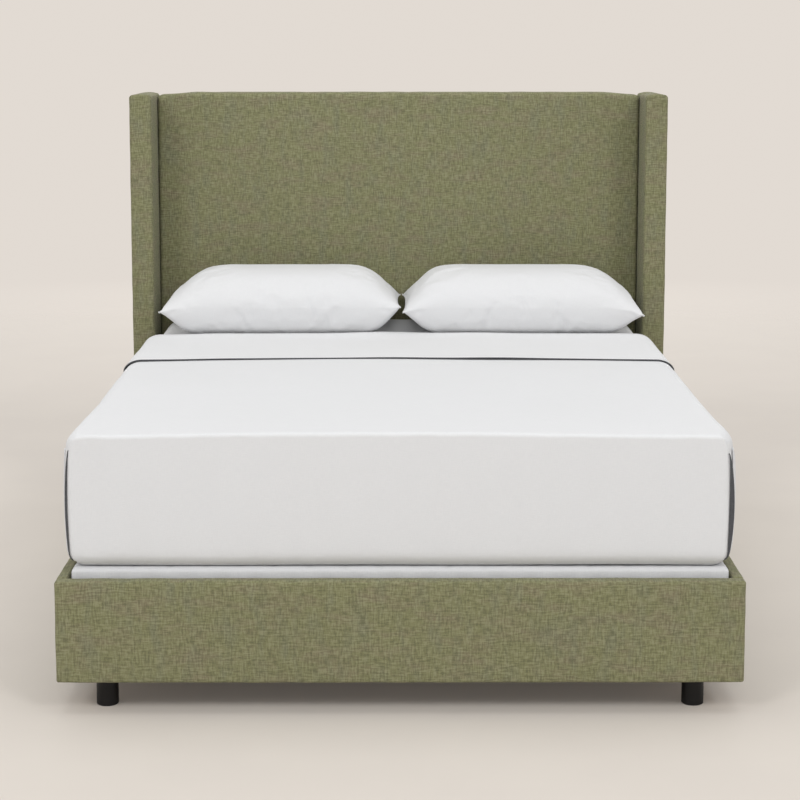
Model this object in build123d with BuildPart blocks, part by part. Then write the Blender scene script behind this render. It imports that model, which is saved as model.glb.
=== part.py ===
from build123d import *
import os

# A queen-size bed with a padded frame: a tall headboard between two wings, two side rails and a
# low footboard on round legs, a box foundation on slats, a mattress, bedding and two pillows.
# Millimetres. The origin is on the floor under the middle of the bed, +Y points to the headboard,
# and left and right are as seen from the foot.

# Overall sizes
bed_length = 2184
rail_span = 1596
wing_step = 8
wing_thickness = 70
wing_depth = 252
headboard_height = 1380
rail_top = 312
rail_bottom = 78

# Upholstery
cloth = 1.6
lining = 1.2
layer_gap = 0.2
body_gap = 0.3
overrun = 5

# Headboard
post_width = 44
timber_depth = 38
bottom_rail_height = 180
cross_rail_height = 60
cross_rail_centre = 670
panel_thickness = 6
headboard_pad = 58
headboard_crown = 8
headboard_side_gap = 2
bedding_gap = 4
headboard_top_pad = 18
headboard_pad_above_rail = 4
headboard_side_round = 15
frame_lift = 4

# Wings
wing_core = 36
wing_outer_foam = 8
wing_nose_foam = 14
wing_round = 10

# Footboard
footboard_thickness = 37
footboard_board = 18
footboard_front_foam = 13.8
footboard_top_foam = 8
footboard_end_foam = 6
footboard_round = 10

# Side rails
rail_thickness = 25
rail_board = 15
rail_top_foam = 8
rail_round = 7
board_lift = 2

# Slats and ledgers
ledger_width = 22
ledger_height = 35
ledger_rise = 5
slat_width = 70
slat_thickness = 19
slat_end_gap = 4
slat_count = 4
slat_end_margin = 240

# Legs and corner blocks
leg_diameter = 52
leg_from_rail = 81
leg_from_end = 53
leg_edge = 2
block_side = 120
block_height = 50
centre_leg_side = 45
centre_leg_clear = 30
foot_diameter = 40
foot_height = 7
foot_edge = 1.5
stem_diameter = 8
stem_length = 55
stem_bore_depth = 58
stem_clearance = 0.05

# Fasteners
bolt_clearance = 0.1
leg_bolt_diameter = 8
leg_bolt_in_leg = 38
leg_bolt_in_block = 35
bracket_plate = 4
bracket_flange = 45
bracket_height = 100
bracket_rise = 12
bracket_bolt_shares = (0.25, 0.75)
bolt_diameter = 6
bolt_head_diameter = 14
bolt_head_height = 2.5
rail_bolt_length = 17
footboard_bolt_length = 20
headboard_bolt_length = 40
screw_diameter = 4.4
screw_head_diameter = 9
screw_head_height = 3
screw_length = 32
ledger_screw_count = 5

# Foundation
foundation_side_gap = 8
foundation_foot_gap = 9.8
foundation_height = 202.7
foundation_cloth = 2.5
foundation_board = 19
foundation_slat_width = 70
foundation_slat_count = 9
foundation_pad = 19
foundation_round = 12

# Mattress and fitted sheet
mattress_side_setback = 3
mattress_foot_setback = 2
mattress_height = 295.6
mattress_corner = 60
mattress_edge = 42
ticking = 2.5
sheet = 1
elastic_margin = 90

# Coverlet and top sheet
coverlet_side = 14
coverlet_bulge = 8
coverlet_top = 6
coverlet_foot = 7
coverlet_under = 3
coverlet_edge = 44
coverlet_corner = 40
tuck_width = 120
fold_from_head = 413
cuff_width = 491
corner_fold = 2.5
corner_fold_length = 230
corner_fold_setback = 26

# Pillows
pillow_side_margin = 10
pillows_apart = 2
pillow_depth = 380
pillow_height = 200
seam_height = 88
pillow_corner_reach = 22
pillow_end_draw = 20
pillow_from_headboard = 34
pillowcase = 1.2
pillow_spare = 0.3
case_mouth = 3
case_mouth_margin = 30

# Heights that follow
slat_top = rail_bottom + ledger_rise + ledger_height + slat_thickness
foundation_bottom = slat_top + body_gap
foundation_top = foundation_bottom + foundation_height
sheet_bottom = foundation_top + body_gap + coverlet_under + sheet + 2 * layer_gap
sheet_top = sheet_bottom + mattress_height
block_bottom = rail_bottom + ledger_rise
frame_bottom = rail_bottom + frame_lift

headboard_pad_bottom = rail_top + headboard_pad_above_rail
core_top = headboard_height - headboard_top_pad

# Places along the bed that follow
foot_front = -bed_length / 2
foot_back = foot_front + footboard_thickness
head_back = bed_length / 2
timber_back = head_back - lining
timber_front = timber_back - timber_depth
panel_front = timber_front - panel_thickness
head_front = panel_front - headboard_pad
head_side_front = head_front + headboard_crown
wing_front = head_back - wing_depth
bedding_back = head_front - bedding_gap
foundation_front = foot_back + foundation_foot_gap
mattress_front = foundation_front + mattress_foot_setback
fold_line = bedding_back - fold_from_head

# Places across the bed that follow
rail_outer = rail_span / 2
rail_inner = rail_outer - rail_thickness
board_inner = rail_inner + cloth
wing_inner = rail_outer - wing_step
wing_outer = wing_inner + wing_thickness
core_outer = wing_outer - cloth - wing_outer_foam
core_inner = core_outer - wing_core
post_inner = core_inner - post_width
headboard_half = wing_inner - headboard_side_gap
foundation_half = rail_inner - foundation_side_gap
sheet_half = foundation_half - mattress_side_setback
pillow_width = sheet_half - pillow_side_margin - pillows_apart / 2
pillow_centre_x = (pillow_width + pillows_apart) / 2

sides = (("left", -1), ("right", 1))


def block(low, high, mode=Mode.ADD):
    """A box between two opposite corners, whatever their order, in the part being built."""
    near = [min(a, b) for a, b in zip(low, high)]
    size = [abs(b - a) for a, b in zip(low, high)]
    with Locations(tuple(near)):
        Box(*size, align=(Align.MIN, Align.MIN, Align.MIN), mode=mode)


def rod(place, turn, diameter, length, mode=Mode.ADD):
    """A cylinder that starts at a place and runs along the turned Z axis."""
    with Locations(Location(place, turn)):
        Cylinder(diameter / 2, length, align=(Align.CENTER, Align.CENTER, Align.MIN), mode=mode)


def headed(place, turn, head, shank, spare=0, mode=Mode.ADD):
    """A fastener's head from a place, then its shank, along the turned Z axis."""
    rod(place, turn, head[0] + 2 * spare, head[1], mode)
    rod(place, turn, shank[0] + 2 * spare, head[1] + shank[1] + spare, mode)


def finish(builder, label):
    """Name a finished piece and write it."""
    builder.part.label = label
    export_step(builder.part, f"parts/{label}.step")


os.makedirs("parts", exist_ok=True)

# Turns that point a fastener along one way
down = (180, 0, 0)
up = (0, 0, 0)
headward = (-90, 0, 0)
footward = (90, 0, 0)


def outward(sign):
    """The turn that points a fastener away from the middle of the bed."""
    return (0, 90 * sign, 0)


# Places of the slats, of every fastener and of the four corners

slat_span = panel_front - foot_back - 2 * slat_end_margin
slat_places = [
    foot_back + slat_end_margin + slat_span * i / (slat_count - 1) for i in range(slat_count)
]
ledger_front = foot_back + block_side
ledger_back = panel_front - block_side
ledger_screw_step = (ledger_back - ledger_front) / ledger_screw_count
screw_head = (screw_head_diameter, screw_head_height)
screw_shank = (screw_diameter, screw_length - screw_head_height)
ledger_middle = block_bottom + ledger_height / 2

slat_screw_places = [
    ((sign * (rail_inner - ledger_width / 2), y, slat_top), down)
    for _, sign in sides
    for y in slat_places
]
centre_screw_places = [((0, y, slat_top), down) for y in slat_places]
ledger_screw_ys = [
    ledger_front + ledger_screw_step * (i + 1 / 2) for i in range(ledger_screw_count)
]
ledger_screw_places = [
    ((sign * (rail_inner - ledger_width), y, ledger_middle), outward(sign))
    for _, sign in sides
    for y in ledger_screw_ys
]

corners = {
    "front_left": (-1, foot_back, 1, rail_inner),
    "front_right": (1, foot_back, 1, rail_inner),
    "rear_left": (-1, panel_front, -1, board_inner),
    "rear_right": (1, panel_front, -1, board_inner),
}
bracket_bottom = block_bottom + block_height + bracket_rise
bolt_heights = [bracket_bottom + bracket_height * share for share in bracket_bolt_shares]
bolt_head = (bolt_head_diameter, bolt_head_height)
bolt_reach = (bracket_flange + bracket_plate) / 2


def leg_place(corner):
    """The centre of a corner leg."""
    sign, y_wall, inward, _ = corners[corner]
    return sign * (rail_inner - leg_from_rail), y_wall + inward * leg_from_end


def bracket_bolt(corner, height, spare=0, mode=Mode.ADD):
    """The two bolts of one corner bracket at one height, into the side rail and the end."""
    sign, y_wall, inward, x_wall = corners[corner]
    head_x = sign * (x_wall - bracket_plate - bolt_head_height)
    rail_shank = (bolt_diameter, rail_bolt_length)
    rail_place = (head_x, y_wall + inward * bolt_reach, height)
    headed(rail_place, outward(sign), bolt_head, rail_shank, spare, mode)
    head_y = y_wall + inward * (bracket_plate + bolt_head_height)
    end_place = (sign * (x_wall - bolt_reach), head_y, height)
    end_turn = footward if inward > 0 else headward
    end_shank = (bolt_diameter, footboard_bolt_length if inward > 0 else headboard_bolt_length)
    headed(end_place, end_turn, bolt_head, end_shank, spare, mode)


def drill_bracket_bolts(names):
    """The holes of the bracket bolts of the named corners."""
    for corner in names:
        for height in bolt_heights:
            bracket_bolt(corner, height, bolt_clearance, Mode.SUBTRACT)


def drill_screws(places):
    """Holes for screws at the given places."""
    for place, turn in places:
        headed(place, turn, screw_head, screw_shank, bolt_clearance, Mode.SUBTRACT)


# Headboard frame

for side, sign in sides:
    with BuildPart() as post:
        block(
            (sign * post_inner, timber_front, frame_bottom),
            (sign * core_inner, timber_back, core_top),
        )
    finish(post, f"headboard_{side}_post")

cross_rails = {
    "headboard_top_rail": (core_top - cross_rail_height, core_top),
    "headboard_middle_rail": (
        cross_rail_centre - cross_rail_height / 2,
        cross_rail_centre + cross_rail_height / 2,
    ),
    "headboard_bottom_rail": (frame_bottom, frame_bottom + bottom_rail_height),
}
for label, (low_z, high_z) in cross_rails.items():
    with BuildPart() as cross_rail:
        block((-post_inner, timber_front, low_z), (post_inner, timber_back, high_z))
        if label == "headboard_bottom_rail":
            drill_bracket_bolts(("rear_left", "rear_right"))
    finish(cross_rail, label)

with BuildPart() as headboard_panel:
    block(
        (-wing_inner + layer_gap, panel_front, frame_bottom),
        (wing_inner - layer_gap, timber_front, core_top),
    )
    drill_bracket_bolts(("rear_left", "rear_right"))
finish(headboard_panel, "headboard_panel")


# Headboard padding: a crowned face between the wings, rolled over the top of the frame


def headboard_outline(inset):
    """The padding seen from above, its face bowed out a little between the wings."""
    half = headboard_half - inset
    back = timber_back
    with BuildSketch(Plane.XY.offset(headboard_pad_bottom)) as outline:
        with BuildLine():
            Polyline(
                (-half, head_side_front + inset),
                (-half, back),
                (half, back),
                (half, head_side_front + inset),
            )
            ThreePointArc(
                (half, head_side_front + inset),
                (0, head_front + inset),
                (-half, head_side_front + inset),
            )
        make_face()
    return outline.sketch


def clear_headboard_frame():
    """Leave room behind the padding and under its roll for the headboard's frame and panel."""
    block(
        (-wing_outer, panel_front, headboard_pad_bottom - overrun),
        (wing_outer, head_back, core_top),
        Mode.SUBTRACT,
    )


headboard_rise = headboard_height - headboard_pad_bottom

with BuildPart() as headboard_front_cover:
    extrude(headboard_outline(0), amount=headboard_rise)
    fillet(
        headboard_front_cover.edges().filter_by(Axis.Z).sort_by(Axis.Y)[:2],
        radius=headboard_side_round,
    )
    fillet(
        headboard_front_cover.faces().sort_by(Axis.Z)[-1].edges().sort_by(Axis.Y)[:3],
        radius=headboard_side_round,
    )
    offset(
        amount=-cloth,
        openings=[
            headboard_front_cover.faces().sort_by(Axis.Z)[0],
            headboard_front_cover.faces().sort_by(Axis.Y)[-1],
        ],
    )
    clear_headboard_frame()
finish(headboard_front_cover, "headboard_front_cover")

foam_inset = cloth + layer_gap

with BuildPart() as headboard_foam:
    extrude(headboard_outline(foam_inset), amount=headboard_rise - foam_inset)
    fillet(
        headboard_foam.edges().filter_by(Axis.Z).sort_by(Axis.Y)[:2],
        radius=headboard_side_round - foam_inset,
    )
    fillet(
        headboard_foam.faces().sort_by(Axis.Z)[-1].edges().sort_by(Axis.Y)[:3],
        radius=headboard_side_round - foam_inset,
    )
    clear_headboard_frame()
finish(headboard_foam, "headboard_foam")

with BuildPart() as headboard_back_cover:
    block(
        (-core_outer, timber_back, frame_bottom),
        (core_outer, head_back, core_top),
    )
finish(headboard_back_cover, "headboard_back_cover")


# Wings: a board, foam wrapped round it, and the cloth over the foam

for side, sign in sides:
    post_notch = (
        (sign * (wing_inner - overrun), panel_front - layer_gap, rail_bottom - overrun),
        (sign * core_inner, head_back, core_top + layer_gap),
    )
    core_front = wing_front + cloth + wing_nose_foam
    with BuildPart() as wing_panel:
        block((sign * core_inner, core_front, frame_bottom), (sign * core_outer, timber_back, core_top))
    finish(wing_panel, f"{side}_wing_panel")

    with BuildPart() as wing_foam:
        block(
            (sign * (wing_inner + foam_inset), wing_front + foam_inset, rail_bottom + foam_inset),
            (sign * (wing_outer - foam_inset), timber_back, headboard_height - foam_inset),
        )
        fillet(
            wing_foam.edges().filter_by(Axis.Z).sort_by(Axis.Y)[:2], radius=wing_round - foam_inset
        )
        fillet(
            wing_foam.faces().sort_by(Axis.Z)[-1].edges().sort_by(Axis.Y)[:-1],
            radius=wing_round - foam_inset,
        )
        block(
            (sign * core_inner, core_front, rail_bottom),
            (sign * core_outer, head_back, core_top),
            Mode.SUBTRACT,
        )
        block(*post_notch, Mode.SUBTRACT)
    finish(wing_foam, f"{side}_wing_foam")

    with BuildPart() as wing_cover:
        block(
            (sign * wing_inner, wing_front, rail_bottom),
            (sign * wing_outer, timber_back, headboard_height),
        )
        fillet(wing_cover.edges().filter_by(Axis.Z).sort_by(Axis.Y)[:2], radius=wing_round)
        fillet(wing_cover.faces().sort_by(Axis.Z)[-1].edges().sort_by(Axis.Y)[:-1], radius=wing_round)
        offset(amount=-cloth, openings=wing_cover.faces().sort_by(Axis.Y)[-1])
        block(*post_notch, Mode.SUBTRACT)
    finish(wing_cover, f"{side}_wing_cover")


# Footboard

footboard_board_front = foot_front + cloth + footboard_front_foam
footboard_board_half = rail_outer - cloth - footboard_end_foam
footboard_board_back = footboard_board_front + footboard_board
footboard_board_top = rail_top - cloth - footboard_top_foam
footboard_board_box = (
    (-footboard_board_half, footboard_board_front, rail_bottom + board_lift),
    (footboard_board_half, footboard_board_back, footboard_board_top),
)

with BuildPart() as footboard_board_part:
    block(*footboard_board_box)
    drill_bracket_bolts(("front_left", "front_right"))
finish(footboard_board_part, "footboard_board")

with BuildPart() as footboard_foam:
    block(
        (-rail_outer + foam_inset, foot_front + foam_inset, rail_bottom + board_lift),
        (rail_outer - foam_inset, foot_back - foam_inset, rail_top - foam_inset),
    )
    fillet(
        footboard_foam.edges().filter_by(Axis.Z).sort_by(Axis.Y)[:2],
        radius=footboard_round - foam_inset,
    )
    fillet(footboard_foam.faces().sort_by(Axis.Z)[-1].edges(), radius=footboard_round - foam_inset)
    block(*footboard_board_box, Mode.SUBTRACT)
    drill_bracket_bolts(("front_left", "front_right"))
finish(footboard_foam, "footboard_foam")

with BuildPart() as footboard_cover:
    block((-rail_outer, foot_front, rail_bottom), (rail_outer, foot_back, rail_top))
    fillet(footboard_cover.edges().filter_by(Axis.Z).sort_by(Axis.Y)[:2], radius=footboard_round)
    fillet(footboard_cover.faces().sort_by(Axis.Z)[-1].edges(), radius=footboard_round)
    offset(amount=-cloth, openings=footboard_cover.faces().sort_by(Axis.Z)[0])
    drill_bracket_bolts(("front_left", "front_right"))
finish(footboard_cover, "footboard_cover")


# Side rails: the board runs on between the wings to the headboard, the padding stops at the wing

rail_front = foot_back + layer_gap
padding_back = wing_front - layer_gap
rail_board_top = rail_top - cloth - rail_top_foam

for side, sign in sides:
    side_corners = (f"front_{side}", f"rear_{side}")
    board_box = (
        (sign * board_inner, rail_front, rail_bottom + board_lift),
        (sign * (board_inner + rail_board), panel_front, rail_board_top),
    )
    side_screws = [(place, turn) for place, turn in ledger_screw_places if place[0] * sign > 0]

    with BuildPart() as rail_board_part:
        block(*board_box)
        drill_bracket_bolts(side_corners)
        drill_screws(side_screws)
    finish(rail_board_part, f"{side}_rail_board")

    with BuildPart() as rail_foam:
        block(
            (sign * (board_inner + layer_gap), rail_front, rail_bottom + board_lift),
            (sign * (rail_outer - foam_inset), padding_back, rail_top - foam_inset),
        )
        fillet(
            rail_foam.faces().sort_by(Axis.Z)[-1].edges().filter_by(Axis.Y),
            radius=rail_round - foam_inset,
        )
        block(
            (sign * (board_inner - overrun), rail_front - overrun, rail_bottom - overrun),
            (sign * (board_inner + rail_board), panel_front, rail_board_top),
            Mode.SUBTRACT,
        )
        drill_bracket_bolts(side_corners)
    finish(rail_foam, f"{side}_rail_foam")

    with BuildPart() as rail_cover:
        block((sign * rail_inner, rail_front, rail_bottom), (sign * rail_outer, padding_back, rail_top))
        fillet(
            rail_cover.faces().sort_by(Axis.Z)[-1].edges().filter_by(Axis.Y), radius=rail_round
        )
        offset(
            amount=-cloth,
            openings=[
                rail_cover.faces().sort_by(Axis.Z)[0],
                rail_cover.faces().sort_by(Axis.Y)[0],
                rail_cover.faces().sort_by(Axis.Y)[-1],
            ],
        )
        drill_bracket_bolts(side_corners)
        drill_screws(side_screws)
    finish(rail_cover, f"{side}_rail_cover")

    with BuildPart() as ledger:
        block(
            (sign * (rail_inner - ledger_width), ledger_front, block_bottom),
            (sign * rail_inner, ledger_back, block_bottom + ledger_height),
        )
        drill_screws(side_screws + slat_screw_places)
    finish(ledger, f"{side}_slat_ledger")


# Slats, with a centre leg and a levelling foot under each

slat_half = rail_inner - slat_end_gap
slat_bottom = slat_top - slat_thickness

for number, y in enumerate(slat_places, start=1):
    with BuildPart() as slat:
        block(
            (-slat_half, y - slat_width / 2, slat_bottom),
            (slat_half, y + slat_width / 2, slat_top),
        )
        drill_screws(slat_screw_places + centre_screw_places)
    finish(slat, f"slat_{number}")

    with BuildPart() as centre_leg:
        block(
            (-centre_leg_side / 2, y - centre_leg_side / 2, centre_leg_clear),
            (centre_leg_side / 2, y + centre_leg_side / 2, slat_bottom),
        )
        bore_diameter = stem_diameter + 2 * stem_clearance
        rod((0, y, centre_leg_clear), up, bore_diameter, stem_bore_depth, Mode.SUBTRACT)
        drill_screws(centre_screw_places)
    finish(centre_leg, f"centre_leg_{number}")

    with BuildPart() as centre_foot:
        rod((0, y, 0), up, foot_diameter, foot_height)
        chamfer(centre_foot.edges(), length=foot_edge)
        rod((0, y, 0), up, stem_diameter, foot_height + stem_length)
    finish(centre_foot, f"centre_foot_{number}")


# Corner legs, the blocks they screw into, and their bolts

for corner in corners:
    x, y = leg_place(corner)
    with BuildPart() as leg:
        rod((x, y, 0), up, leg_diameter, block_bottom)
        chamfer(leg.edges().sort_by(Axis.Z)[0], length=leg_edge)
        rod(
            (x, y, block_bottom - leg_bolt_in_leg),
            up,
            leg_bolt_diameter + 2 * bolt_clearance,
            leg_bolt_in_leg,
            Mode.SUBTRACT,
        )
    finish(leg, f"{corner}_leg")

with BuildPart() as corner_blocks:
    for corner, (sign, y_wall, inward, x_wall) in corners.items():
        x, y = leg_place(corner)
        block(
            (sign * x_wall, y_wall, block_bottom),
            (sign * (x_wall - block_side), y_wall + inward * block_side, block_bottom + block_height),
        )
        rod(
            (x, y, block_bottom),
            up,
            leg_bolt_diameter + 2 * bolt_clearance,
            leg_bolt_in_block + bolt_clearance,
            Mode.SUBTRACT,
        )
finish(corner_blocks, "corner_blocks")

with BuildPart() as leg_bolts:
    for corner in corners:
        x, y = leg_place(corner)
        rod(
            (x, y, block_bottom - leg_bolt_in_leg + bolt_clearance),
            up,
            leg_bolt_diameter,
            leg_bolt_in_leg + leg_bolt_in_block - bolt_clearance,
        )
finish(leg_bolts, "leg_bolts")

with BuildPart() as corner_brackets:
    for corner, (sign, y_wall, inward, x_wall) in corners.items():
        corner_line = (sign * x_wall, y_wall, bracket_bottom)
        block(
            corner_line,
            (
                sign * (x_wall - bracket_plate),
                y_wall + inward * bracket_flange,
                bracket_bottom + bracket_height,
            ),
        )
        block(
            corner_line,
            (
                sign * (x_wall - bracket_flange),
                y_wall + inward * bracket_plate,
                bracket_bottom + bracket_height,
            ),
        )
    drill_bracket_bolts(corners)
finish(corner_brackets, "corner_brackets")

with BuildPart() as bracket_bolts:
    for corner in corners:
        for height in bolt_heights:
            bracket_bolt(corner, height)
finish(bracket_bolts, "bracket_bolts")

with BuildPart() as wood_screws:
    for place, turn in slat_screw_places + centre_screw_places + ledger_screw_places:
        headed(place, turn, screw_head, screw_shank)
finish(wood_screws, "wood_screws")


# Box foundation: boards, slats and a pad inside a quilted cloth cover

foundation_inner = foundation_half - foundation_cloth - layer_gap
foundation_inner_front = foundation_front + foundation_cloth + layer_gap
foundation_inner_back = bedding_back - foundation_cloth - layer_gap
pad_top = foundation_top - foundation_cloth - layer_gap
pad_bottom = pad_top - foundation_pad
foundation_slat_bottom = pad_bottom - foundation_board

with BuildPart() as foundation_boards:
    for _, sign in sides:
        block(
            (sign * foundation_inner, foundation_inner_front, foundation_bottom),
            (
                sign * (foundation_inner - foundation_board),
                foundation_inner_back,
                foundation_slat_bottom,
            ),
        )
    end_half = foundation_inner - foundation_board - layer_gap
    for start, inward in ((foundation_inner_front, 1), (foundation_inner_back, -1)):
        block(
            (-end_half, start, foundation_bottom),
            (end_half, start + inward * foundation_board, foundation_slat_bottom),
        )
finish(foundation_boards, "foundation_boards")

foundation_slat_span = foundation_inner_back - foundation_inner_front - foundation_slat_width

with BuildPart() as foundation_slats:
    for i in range(foundation_slat_count):
        y = foundation_inner_front + foundation_slat_span * i / (foundation_slat_count - 1)
        block(
            (-foundation_inner, y, foundation_slat_bottom),
            (foundation_inner, y + foundation_slat_width, pad_bottom),
        )
finish(foundation_slats, "foundation_slats")

with BuildPart() as foundation_pad_part:
    block(
        (-foundation_inner, foundation_inner_front, pad_bottom),
        (foundation_inner, foundation_inner_back, pad_top),
    )
    fillet(
        foundation_pad_part.edges().filter_by(Axis.Z),
        radius=foundation_round - foundation_cloth - layer_gap,
    )
    fillet(
        foundation_pad_part.faces().sort_by(Axis.Z)[-1].edges(),
        radius=foundation_round - foundation_cloth - layer_gap,
    )
finish(foundation_pad_part, "foundation_pad")

with BuildPart() as foundation_cover:
    block(
        (-foundation_half, foundation_front, foundation_bottom),
        (foundation_half, bedding_back, foundation_top),
    )
    fillet(foundation_cover.faces().sort_by(Axis.Z)[-1].edges(), radius=foundation_round)
    offset(amount=-foundation_cloth, openings=foundation_cover.faces().sort_by(Axis.Z)[0])
finish(foundation_cover, "foundation_cover")


# Mattress and fitted sheet: one rounded form, each layer inside the next


def mattress_form(grow):
    """The rounded mattress, larger than the fitted sheet's outside by grow on every face."""
    with BuildPart() as form:
        block(
            (-sheet_half - grow, mattress_front - grow, sheet_bottom - grow),
            (sheet_half + grow, bedding_back + grow, sheet_top + grow),
        )
        fillet(form.edges().filter_by(Axis.Z), radius=mattress_corner + grow)
        fillet(form.faces().sort_by(Axis.Z)[-1].edges(), radius=mattress_edge + grow)
        fillet(form.faces().sort_by(Axis.Z)[0].edges(), radius=mattress_edge + grow)
    return form.part


ticking_inset = sheet + layer_gap
core_inset = ticking_inset + ticking + layer_gap
sheet_form = mattress_form(0)
ticking_form = mattress_form(-ticking_inset)
core_form = mattress_form(-core_inset)


def open_under_mattress(margin, rear):
    """Clear the cloth under the mattress, all but a margin at its edges."""
    block(
        (-sheet_half + margin, mattress_front + margin, foundation_top - overrun),
        (sheet_half - margin, rear, sheet_bottom + overrun),
        Mode.SUBTRACT,
    )


with BuildPart() as fitted_sheet:
    add(sheet_form)
    add(mattress_form(-sheet), mode=Mode.SUBTRACT)
    open_under_mattress(elastic_margin, bedding_back - elastic_margin)
finish(fitted_sheet, "fitted_sheet")

with BuildPart() as mattress_cover:
    add(ticking_form)
    add(mattress_form(-ticking_inset - ticking), mode=Mode.SUBTRACT)
    open_under_mattress(elastic_margin, bedding_back - elastic_margin)
finish(mattress_cover, "mattress_cover")

with BuildPart() as mattress_core:
    add(core_form)
finish(mattress_core, "mattress_core")


# Coverlet and top sheet: both drop over the sides and the foot and are tucked under

coverlet_bottom = foundation_top + body_gap
coverlet_front = mattress_front - coverlet_foot - sheet - layer_gap
coverlet_crest = sheet_top + sheet + 2 * layer_gap + coverlet_top
flap_front = coverlet_front + corner_fold_setback
fold_end = fold_line + sheet
cuff_start = fold_line - cuff_width
cuff_grow = layer_gap + 2 * sheet
under_sheet_form = mattress_form(sheet + layer_gap)
sheet_space = mattress_form(layer_gap)
coverlet_space = mattress_form(sheet + 2 * layer_gap)


def bedding_outline(start, grow):
    """The bedding seen from the foot: sides that swell between a tucked edge and a round one."""
    half = sheet_half + coverlet_side + grow
    middle = half + coverlet_bulge
    top = coverlet_crest + grow
    bottom = coverlet_bottom - grow
    with BuildSketch(Plane.XZ.offset(-start)) as outline:
        with BuildLine():
            Line((-half, top), (half, top))
            ThreePointArc((half, top), (middle, (top + bottom) / 2), (half, bottom))
            Line((half, bottom), (-half, bottom))
            ThreePointArc((-half, bottom), (-middle, (top + bottom) / 2), (-half, top))
        make_face()
        fillet(outline.vertices(), radius=coverlet_edge + grow)
    return outline.sketch


# The flap of each tucked corner, a layer more on the side, cut on a slant from the top corner down

with BuildPart() as corner_flaps:
    extrude(bedding_outline(flap_front, corner_fold), amount=-corner_fold_length)
    extrude(
        bedding_outline(flap_front - overrun, 0),
        amount=-corner_fold_length - 2 * overrun,
        mode=Mode.SUBTRACT,
    )
    with BuildSketch(Plane.YZ) as slant:
        with BuildLine():
            Polyline(
                (flap_front, coverlet_crest - coverlet_edge),
                (flap_front, coverlet_bottom + coverlet_edge),
                (flap_front + corner_fold_length, coverlet_bottom + coverlet_edge),
                close=True,
            )
        make_face()
    extrude(amount=wing_outer, both=True, mode=Mode.INTERSECT)

with BuildPart() as coverlet:
    extrude(bedding_outline(coverlet_front, 0), amount=coverlet_front - fold_line)
    fillet(coverlet.faces().sort_by(Axis.Y)[0].edges(), radius=coverlet_corner)
    add(coverlet_space, mode=Mode.SUBTRACT)
    open_under_mattress(tuck_width, fold_end + overrun)
    add(corner_flaps.part)
finish(coverlet, "coverlet")

with BuildPart() as cuff:
    extrude(bedding_outline(cuff_start, cuff_grow), amount=cuff_start - fold_end)
    extrude(
        bedding_outline(cuff_start - overrun, layer_gap),
        amount=cuff_start - overrun - fold_line - layer_gap,
        mode=Mode.SUBTRACT,
    )
    block(
        (-wing_outer, cuff_start - overrun, coverlet_bottom - overrun),
        (wing_outer, fold_end + overrun, sheet_bottom),
        Mode.SUBTRACT,
    )

with BuildPart() as top_sheet:
    add(under_sheet_form)
    block(
        (-wing_outer, fold_end, coverlet_bottom - overrun),
        (wing_outer, head_back, headboard_height),
        Mode.SUBTRACT,
    )
    add(cuff.part)
    add(sheet_space, mode=Mode.SUBTRACT)
    open_under_mattress(tuck_width, fold_end + overrun)
finish(top_sheet, "top_sheet")


# Pillows: a crown, sides drawn in between the four corners, and a flat where they lie

pillow_bottom = sheet_top + body_gap
pillow_back = bedding_back - pillow_from_headboard
pillow_middle_y = pillow_back - pillow_depth / 2
seam_z = pillow_bottom + seam_height

# Along a pillow: place, crown, drop below the seam, and how far the corners reach out, as shares
station_shares = (
    (1, 0.07, 0.1, 1),
    (0.92, 0.34, 0.45, 0.72),
    (0.8, 0.64, 0.86, 0.42),
    (0.62, 0.88, 1, 0.18),
    (0.32, 0.99, 1, 0.04),
    (0, 1, 1, 0),
)
flat_share = 0.72
diagonal_share = 0.5**0.5


def pillow_section(centre_x, shares, inset):
    """One upright slice of a pillow: a crown over the seams and a flat with round ends below."""
    place, crown, drop, reach = shares
    half = pillow_depth / 2 + pillow_corner_reach * reach - inset
    top = (pillow_height - seam_height) * crown - inset
    low = seam_height * drop - inset
    flat = half * flat_share
    round_y = half - (half - flat) * (1 - diagonal_share)
    round_z = -low * diagonal_share
    x = centre_x + place * (pillow_width / 2 - inset)
    with BuildSketch(Plane((x, pillow_middle_y, seam_z), (0, 1, 0), (1, 0, 0))) as section:
        with BuildLine():
            ThreePointArc((-half, 0), (0, top), (half, 0))
            ThreePointArc((half, 0), (round_y, round_z), (flat, -low))
            Line((flat, -low), (-flat, -low))
            ThreePointArc((-flat, -low), (-round_y, round_z), (-half, 0))
        make_face()
    return section.sketch


def pillow_form(centre_x, inset):
    """A whole pillow, smaller than the pillowcase's outside by inset on every face."""
    near = [(-place, *rest) for place, *rest in station_shares]
    far = list(reversed(station_shares[:-1]))
    sections = [pillow_section(centre_x, shares, inset) for shares in near + far]
    half = pillow_width / 2 - inset
    corner = pillow_depth / 2 + pillow_corner_reach + overrun
    with BuildPart() as form:
        loft(sections)
        for sign in (-1, 1):
            end_x = centre_x + sign * half
            with BuildSketch(Plane.XY.offset(pillow_bottom)) as drawn_end:
                with BuildLine():
                    ThreePointArc(
                        (end_x, pillow_middle_y - corner),
                        (end_x - sign * pillow_end_draw, pillow_middle_y),
                        (end_x, pillow_middle_y + corner),
                    )
                    Polyline(
                        (end_x, pillow_middle_y + corner),
                        (end_x + sign * overrun, pillow_middle_y + corner),
                        (end_x + sign * overrun, pillow_middle_y - corner),
                        (end_x, pillow_middle_y - corner),
                    )
                make_face()
            extrude(drawn_end.sketch, amount=pillow_height, mode=Mode.SUBTRACT)
        block(
            (centre_x - pillow_width, pillow_middle_y - corner, pillow_bottom - seam_height),
            (centre_x + pillow_width, pillow_middle_y + corner, pillow_bottom + inset),
            Mode.SUBTRACT,
        )
    return form.part


mouth_half = pillow_depth / 2 - case_mouth_margin

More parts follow.
